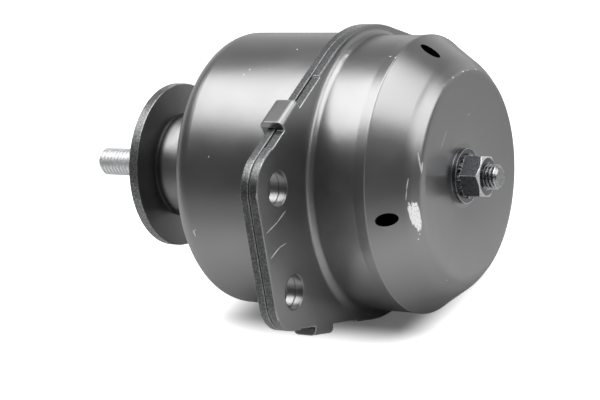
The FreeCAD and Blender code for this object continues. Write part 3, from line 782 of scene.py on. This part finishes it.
@dataclass
class Shells:
    """The coated sheet-steel pieces: can, flange plates, pot and stop disc."""

    # middles of the punched bolt holes, with their signs left out
    holes: tuple[Triple, ...] = ((0.0, 75.0, 21.0), (0.0, 71.0, 0.0))
    # direction of the ear's straight edge from the axis, and its distance
    tab: Triple = (0.3393, 0.9407, 60.2)
    fold_radius: float = 0.8
    # stations of the seam and of the vent walls, which get painted shade
    parting: Pair = (95.45, 95.85)
    vents: Pair = (124.6, 124.8)
    disc_edge: float = 34.5
    can_marks: tuple[Mark, ...] = (
        speck(77.2, 78.5, 56.8, 0.32, 0.7),
        speck(62.0, 64.5, 56.8, 0.34, 0.6),
        speck(60.5, 61.6, 56.8, 0.26, 0.6),
        speck(54.1, 24.7, 56.8, 0.26, 0.6),
        Mark((44.3, -8.6, 56.8), (44.0, -6.6, 56.8), 0.26, 0.8),
        Mark((44.0, -6.6, 56.8), (45.1, -5.9, 56.8), 0.22, 0.6),
    )
    flange_marks: tuple[Mark, ...] = (
        Mark((99.3, 8.6, 73.4), (99.3, 6.7, 79.0), 0.22, 0.55, 0.3),
        Mark((99.3, 6.7, 79.0), (99.3, 5.25, 87.4), 0.22, 0.5, 0.3),
        Mark((99.3, -0.6, 75.5), (99.3, -0.4, 80.0), 0.2, 0.4, 0.3),
        Mark((99.3, -0.4, 80.0), (99.3, -1.4, 87.2), 0.24, 0.55, 0.3),
        speck(120.8, 74.9, 55.9, 0.3, 0.8),
        speck(123.6, 73.9, 56.1, 0.3, 0.8),
    )
    pot_marks: tuple[Mark, ...] = (
        Mark((137.9, 6.0, 46.1), (139.0, -5.0, 44.9), 0.95),
        Mark((137.7, 5.6, 46.3), (138.3, -2.4, 45.7), 0.9),
        Mark((138.8, 6.6, 45.2), (139.5, -6.8, 44.4), 1.1),
        Mark((139.6, 6.8, 44.2), (139.8, -7.4, 44.0), 0.85),
        # thin strokes along the crown's ridge: wear, and a painted highlight of the ridge's edge
        Mark((137.75, 19.8, 46.25), (137.1, 13.5, 46.7), 0.2, 0.5, 0.3),
        Mark((137.1, 13.5, 46.7), (136.8, 9.0, 46.9), 0.2, 0.4, 0.3),
        Mark((139.75, 32.2, 44.1), (140.95, 21.9, 42.2), 0.32, 0.42, 0.6),
        Mark((140.9, 27.5, 42.0), (140.95, 21.9, 42.1), 0.36, 0.5, 0.5),
        Mark((139.8, 63.0, 26.2), (139.8, 43.0, 26.3), 0.26, 0.25, 0.4),
        Mark((140.9, 84.0, 42.2), (140.9, 86.0, 42.2), 0.22, 0.6),
        Mark((140.9, 96.0, 42.0), (141.0, 98.0, 42.0), 0.26, 0.7),
        Mark((141.0, 102.0, 41.9), (141.0, 103.4, 41.9), 0.22, 0.6),
        Mark((140.9, 112.4, 42.3), (140.9, 114.0, 42.3), 0.22, 0.6),
        speck(139.55, 110.2, 24.3, 0.3, 0.6),
        speck(139.95, -48.9, 43.7, 0.28, 0.6),
        speck(139.3, -9.6, 44.4, 0.3, 0.6),
        speck(138.7, -12.0, 45.2, 0.35, 0.7),
    )

    def dress(self) -> None:
        """Coats the shells and the disc."""
        can = BlackCoat(marks=self.can_marks, edge=Edge.SHEARED, parting=self.parting, holes=self.holes)
        flange = BlackCoat(marks=self.flange_marks, edge=Edge.SHEARED, rolled=self.fold_radius, holes=self.holes,
                           tab=self.tab)
        disc = BlackCoat(edge=Edge.SHEARED, edge_radius=self.disc_edge, edge_dark="#545556", edge_pale="#8a8b8c")
        dress("upper_housing", can.make("coated_can"))
        dress("lower_housing", flange.make("coated_flange"))
        dress("pot_cap", BlackCoat(marks=self.pot_marks, vents=self.vents).make("coated_pot"))
        dress("stop_disc", disc.make("coated_disc"))


@dataclass
class Fasteners:
    """Washer, toothed washer and nut on the pot's stud."""

    across_flats: float = 16.0
    nut_start: float = 140.82
    nut_end: float = 148.82
    bore: float = 5.02
    countersink: float = 5.6
    countersink_depth: float = 0.5
    chamfer_radius: float = 7.55
    chamfer_angle: float = 30.0
    chamfer_station: float = 147.6
    flat_turn: float = -9.0
    side_steps: int = 12
    chamfer_rings: int = 6
    washer_teeth: int = 36

    def reach(self, turn: float) -> float:
        """Gives the nut's radius at an angle in radians."""
        sector = math.pi / 3
        off = (turn - math.radians(self.flat_turn) + sector / 2) % sector - sector / 2
        return self.across_flats / 2 / math.cos(off)

    def nut(self) -> bmesh.types.BMesh:
        """Makes a hexagon nut whose outer corners are turned off by a chamfer.

        Returns:
            The nut's mesh, in millimetres.
        """
        bm = bmesh.new()
        slope = math.tan(math.radians(self.chamfer_angle))
        height = (self.across_flats / math.sqrt(3) - self.chamfer_radius) * slope
        depths = [height * (1 - i / self.chamfer_rings) for i in range(self.chamfer_rings + 1)]
        # each ring of the section is a station and the most that its radius may be
        limits = [(self.nut_start, self.bore), (self.nut_start, math.inf)]
        limits += [(self.nut_end - depth, self.chamfer_radius + depth / slope) for depth in depths]
        limits += [(self.nut_end, self.countersink), (self.nut_end - self.countersink_depth, self.bore)]
        upright = Matrix.Rotation(-math.radians(self.flat_turn), 4, "X") @ Matrix.Rotation(math.pi / 2, 4, "Y")
        bmesh.ops.create_circle(bm, segments=6 * self.side_steps, radius=1.0, matrix=upright)
        first = loop = bm.edges[:]
        verts = bm.verts[:]
        for step, (station, limit) in enumerate(limits):
            if step:
                grown = bmesh.ops.extrude_edge_only(bm, edges=loop)["geom"]
                verts = [item for item in grown if isinstance(item, bmesh.types.BMVert)]
                loop = [item for item in grown if isinstance(item, bmesh.types.BMEdge) and item.is_boundary]
            for vert in verts:
                turn = math.atan2(vert.co.z, -vert.co.y)
                radius = min(self.reach(turn), limit)
                vert.co = (station, -radius * math.cos(turn), radius * math.sin(turn))
        bmesh.ops.bridge_loops(bm, edges=first + loop)
        return bm

    def dress(self) -> None:
        """Gives them a dark plated finish, with edges and the nut's chamfer brightened by wear and a painted
        highlight.
        """
        dark = PlatedSteel("#55565a", "#ffffff", 0.3, spots=0.06, turned=self.chamfer_station)
        serrated = PlatedSteel("#4a4b4d", "#b4b5b6", 0.38, spots=0.06, teeth=self.washer_teeth)
        finish = dark.make("dark_zinc_hardware")
        dress("plain_washer", finish)
        dress("lock_washer", serrated.make("serrated_washer"))
        place_piece(self.nut(), "chamfered_nut", finish, "hex_nut")


@dataclass
class Insides:
    """Pieces inside the shells, and the rubber spring whose skin shows as the hub."""

    draft: float = 0.22
    rubber: tuple[str, ...] = ("seal_ring", "decoupler", "diaphragm")
    steel: tuple[str, ...] = ("outer_sleeve", "nozzle_grid", "nozzle_cover", "diaphragm_ring", "stud_plate")
    alloy: tuple[str, ...] = ("core", "nozzle_body")

    def dress(self) -> None:
        """Gives the inner pieces their finishes."""
        dress("main_spring", MouldedRubber(draft=self.draft).make("moulded_rubber_spring"))
        soft = MouldedRubber(roughness=0.5).make("moulded_rubber")
        sheet = PlatedSteel("#8a8b8d", "#c2c3c4", 0.42).make("phosphated_steel")
        cast = PlatedSteel("#a9aaab", "#d0d0d1", 0.45, grain=2.5, relief=0.1).make("die_cast_alloy")
        for names, finish in ((self.rubber, soft), (self.steel, sheet), (self.alloy, cast)):
            for name in names:
                dress(name, finish)


@dataclass
class Studio:
    """White table, a large softbox overhead, a small one beside the pot, and the photograph's camera."""

    camera_place: Triple = (479.35, -652.37, 255.24)
    right: Triple = (0.85864, 0.49068, -0.14818)
    down: Triple = (0.04315, -0.35727, -0.933)
    forward: Triple = (-0.51075, 0.79472, -0.32795)
    lens: float = 117.25
    sensor: float = 36.0
    # lamps, and the radius of the table, are in metres
    softbox_place: Triple = (-0.02, -0.17, 1.0)
    softbox_size: Pair = (1.58, 1.1)
    softbox_watts: float = 21.5
    softbox_turn: float = 20.0
    side_place: Triple = (0.98, 0.16, 0.66)
    side_size: Pair = (0.95, 0.55)
    side_watts: float = 5.8
    side_aim: Triple = (0.1, 0.0, 0.0)
    table_radius: float = 4.0
    table_height: float = -60.3
    # the room is lit from behind the mount, most at the height of the table
    backdrop: Triple = (-0.3, 0.95, 0.0)
    room_level: float = 0.12
    # round the shadow the table is paper, and past this margin it fades to pure white for the camera
    shadow_middle: Triple = (73.5, 12.0, -60.3)
    shadow_half: Triple = (35.0, 29.0, 1000.0)
    shadow_margin: float = 24.0
    paper: str = "#d2d2d2"
    shade: str = "#1a1a1a"
    near_shade: float = 0.55
    far_shade: float = 0.42

    def camera(self) -> None:
        """Places the camera as the fit to the photograph gives it."""
        data = bpy.data.cameras.new("camera")
        data.lens = self.lens
        data.sensor_width = self.sensor
        data.clip_start, data.clip_end = 0.01, 50.0
        eye = bpy.data.objects.new("camera", data)
        bpy.context.scene.collection.objects.link(eye)
        axes = (Vector(self.right), -Vector(self.down), -Vector(self.forward))
        turn = Matrix([[axis[row] for axis in axes] for row in range(3)])
        eye.matrix_world = Matrix.Translation(Vector(self.camera_place) * MM) @ turn.to_4x4()
        bpy.context.scene.camera = eye

    def softbox(self, name: str, place: Triple, size: Pair, watts: float, turn: Triple) -> None:
        """Hangs a softbox.

        Args:
            name: Name of the lamp.
            place: Its middle, in metres.
            size: Its two sides, in metres.
            watts: Its power.
            turn: Its Euler angles.
        """
        data = bpy.data.lights.new(name, "AREA")
        data.shape = "RECTANGLE"
        data.size, data.size_y = size
        data.energy = watts
        lamp = bpy.data.objects.new(name, data)
        lamp.location = place
        lamp.rotation_euler = turn
        bpy.context.scene.collection.objects.link(lamp)

    def lamps(self) -> None:
        """Hangs the large softbox over the mount and a small one beside the pot."""
        self.softbox("overhead_softbox", self.softbox_place, self.softbox_size, self.softbox_watts,
                     (0.0, 0.0, math.radians(self.softbox_turn)))
        aim = (Vector(self.side_place) - Vector(self.side_aim)).to_track_quat("Z", "Y").to_euler()
        self.softbox("side_softbox", self.side_place, self.side_size, self.side_watts, aim)

    def world(self) -> None:
        """Makes a dim room that is paler behind the mount, and white where the camera looks past the table."""
        world = bpy.data.worlds.new("room")
        bpy.context.scene.world = world
        world.use_nodes = True
        tree = world.node_tree
        tree.nodes.clear()
        towards = add_node(tree, "TexCoord", output="Generated")
        back = add_node(tree, "VectorMath", (towards, self.backdrop), operation="DOT_PRODUCT")
        behind = add_node(tree, "MapRange", (back, 0.1, 0.7), **SMOOTH)
        height = add_node(tree, "SeparateXYZ", (towards,), output="Z")
        low = add_node(tree, "MapRange", (height, -0.05, 0.7, 1.05, 0.2), **SMOOTH)
        lit = add_node(tree, "Math", (behind, low), operation="MULTIPLY")
        glow = add_node(tree, "Math", (lit, self.room_level), operation="ADD")
        seen = add_node(tree, "LightPath", output="Is Camera Ray")
        level = add_node(tree, "Math", (glow, seen), operation="MAXIMUM")
        room = add_node(tree, "Background", {"Color": linear("#ffffff"), "Strength": level})
        add_node(tree, "OutputWorld", {"Surface": room})

    def shaded(self, tree: Tree, place: Socket) -> Socket:
        """Darkens the table in front of the mount, and less behind it, which only reflections show.

        Args:
            tree: The table's node tree.
            place: Position socket.

        Returns:
            The share of the dark shade.
        """
        depth = add_node(tree, "SeparateXYZ", (place,), output="Y")
        front = add_node(tree, "MapRange", (depth, -0.07, -0.22), **SMOOTH)
        near = add_node(tree, "Math", (front, self.near_shade), operation="MULTIPLY")
        begin = add_node(tree, "MapRange", (depth, 0.05, 0.2), **SMOOTH)
        fade = add_node(tree, "MapRange", (depth, 0.55, 0.3, 0.0, self.far_shade), **SMOOTH)
        far = add_node(tree, "Math", (begin, fade), operation="MULTIPLY")
        return add_node(tree, "Math", (near, far), operation="ADD")

    def whitened(self, tree: Tree, place: Socket) -> Socket:
        """Lifts the table to pure white where the camera sees it away from the mount's shadow.

        Args:
            tree: The table's node tree.
            place: Position socket.

        Returns:
            The strength of the white.
        """
        centred = add_node(tree, "VectorMath", (place, Vector(self.shadow_middle) * MM), operation="SUBTRACT")
        folded = add_node(tree, "VectorMath", (centred,), operation="ABSOLUTE")
        past = add_node(tree, "VectorMath", (folded, Vector(self.shadow_half) * MM), operation="SUBTRACT")
        outside = add_node(tree, "VectorMath", (past, (0.0, 0.0, 0.0)), operation="MAXIMUM")
        away = add_node(tree, "VectorMath", (outside,), operation="LENGTH")
        white = add_node(tree, "MapRange", (away, 0.0, self.shadow_margin * MM, 0.1, 1.0), **SMOOTH)
        seen = add_node(tree, "LightPath", output="Is Camera Ray")
        return add_node(tree, "Math", (white, seen), operation="MULTIPLY")

    def table(self) -> None:
        """Lays a pale round table that keeps the mount's shadow."""
        bm = bmesh.new()
        bmesh.ops.create_circle(bm, cap_ends=True, segments=96, radius=self.table_radius)
        bmesh.ops.translate(bm, verts=bm.verts, vec=(0, 0, self.table_height * MM))
        mesh = bpy.data.meshes.new("table")
        bm.to_mesh(mesh)
        bm.free()
        top = bpy.data.objects.new("table", mesh)
        bpy.context.scene.collection.objects.link(top)
        material, tree = new_material("white_table")
        place = add_node(tree, "TexCoord", output="Object")
        tone = add_node(tree, "Mix", {"Factor": self.shaded(tree, place), "A": linear(self.paper),
                                      "B": linear(self.shade)}, **COLOUR)
        matt = add_node(tree, "BsdfPrincipled", {
            "Base Color": tone, "Roughness": 0.9, "Emission Color": linear("#ffffff"),
            "Emission Strength": self.whitened(tree, place)})
        add_node(tree, "OutputMaterial", {"Surface": matt})
        mesh.materials.append(material)

    def build(self) -> None:
        """Sets up camera, light and table."""
        self.camera()
        self.lamps()
        self.world()
        self.table()
        bpy.context.scene.view_settings.view_transform = "Standard"


def main() -> None:
    """Dresses the mount and sets up the studio."""
    logging.basicConfig(level=logging.INFO, format="%(message)s")
    Shells().dress()
    Fasteners().dress()
    Insides().dress()
    Studs().build()
    Studio().build()


if __name__ == "__main__":
    main()
